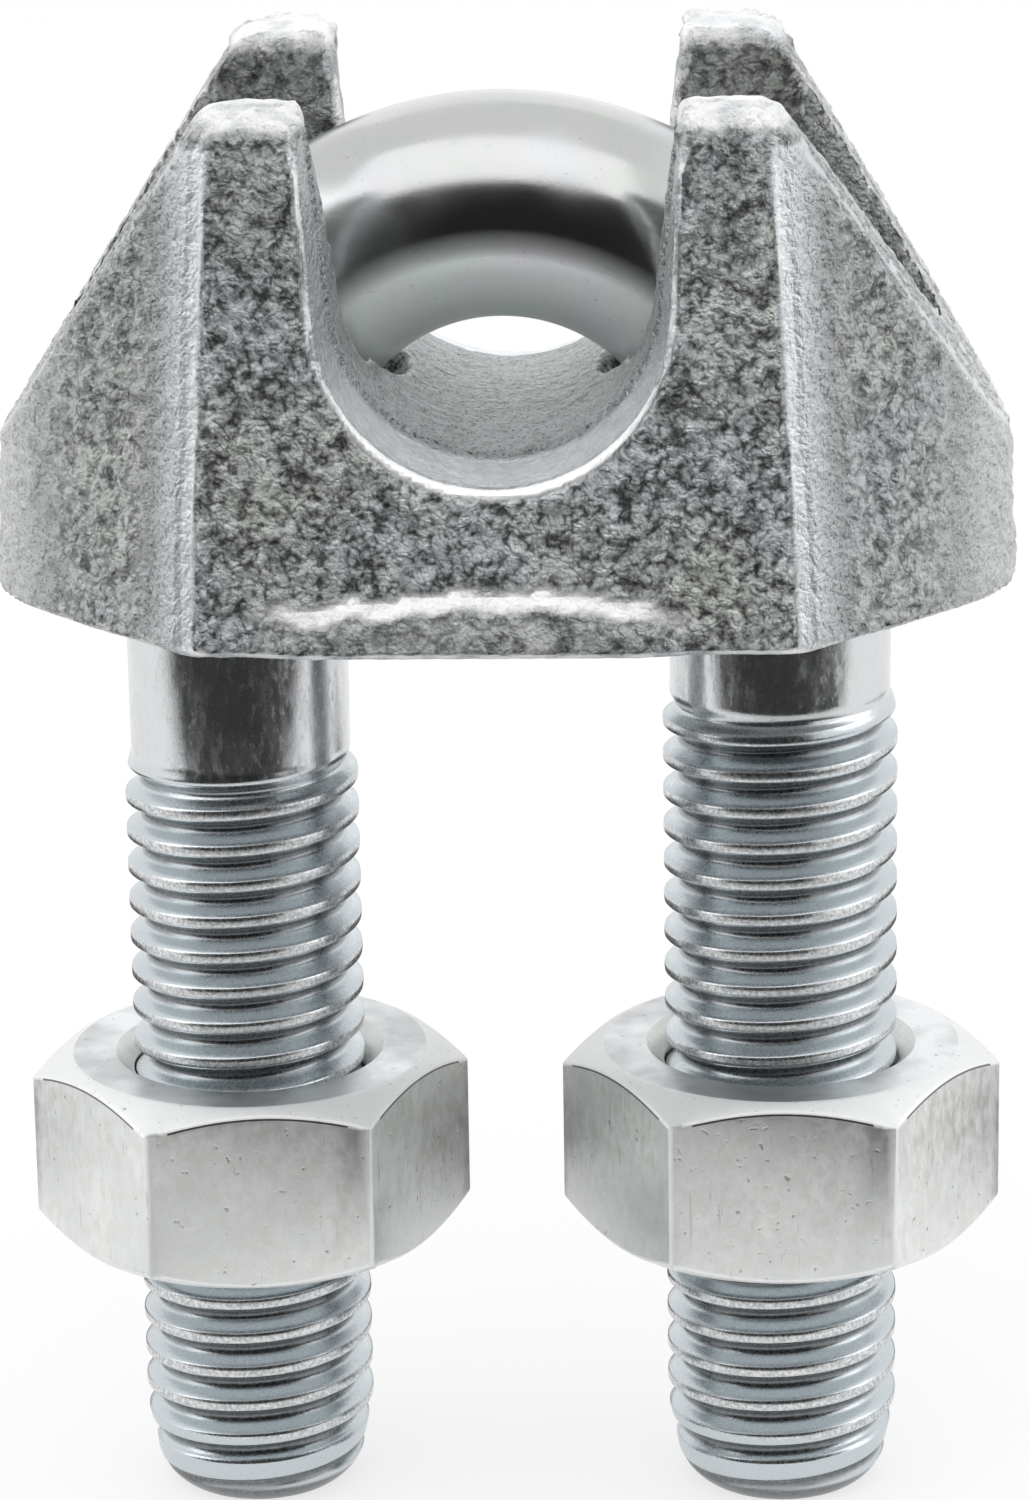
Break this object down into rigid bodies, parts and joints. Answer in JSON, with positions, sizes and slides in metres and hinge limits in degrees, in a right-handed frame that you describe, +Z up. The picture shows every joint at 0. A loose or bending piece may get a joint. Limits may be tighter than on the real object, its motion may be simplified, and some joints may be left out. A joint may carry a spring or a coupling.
{
  "type": "wire rope clip",
  "caption": "U-bolt rope clip: a cast saddle with tall flared ears slides on the threaded legs of a bent bar and is drawn up to the bow by hex nuts.",
  "frame": {"origin": "midway between the two legs, level with their ends", "axes": "+Z up along the legs towards the bow, +X from the left leg to the right leg, +Y along the rope"},
  "size_m": [0.0342, 0.0214, 0.05],
  "materials": {
    "zinc_bar": "bright zinc plating on smooth bar and rolled thread",
    "zinc_casting": "zinc over a rough sand casting",
    "zinc_nut": "bright zinc plating, lightly scratched"
  },
  "bodies": {
    "bolt": {"u_bolt": "zinc_bar"},
    "saddle": {"saddle": "zinc_casting"},
    "nut_left": {"nut_left": "zinc_nut"},
    "nut_right": {"nut_right": "zinc_nut"}
  },
  "joints": [
    {"name": "saddle_slide", "type": "slide", "parent": "bolt", "child": "saddle", "axis": [0, 0, 1], "range_m": [-0.0072, 0.0003]},
    {"name": "nut_left_travel", "type": "slide", "parent": "bolt", "child": "nut_left", "axis": [0, 0, 1], "range_m": [-0.0093, 0.009]},
    {"name": "nut_right_travel", "type": "slide", "parent": "bolt", "child": "nut_right", "axis": [0, 0, 1], "range_m": [-0.0094, 0.0089]}
  ]
}
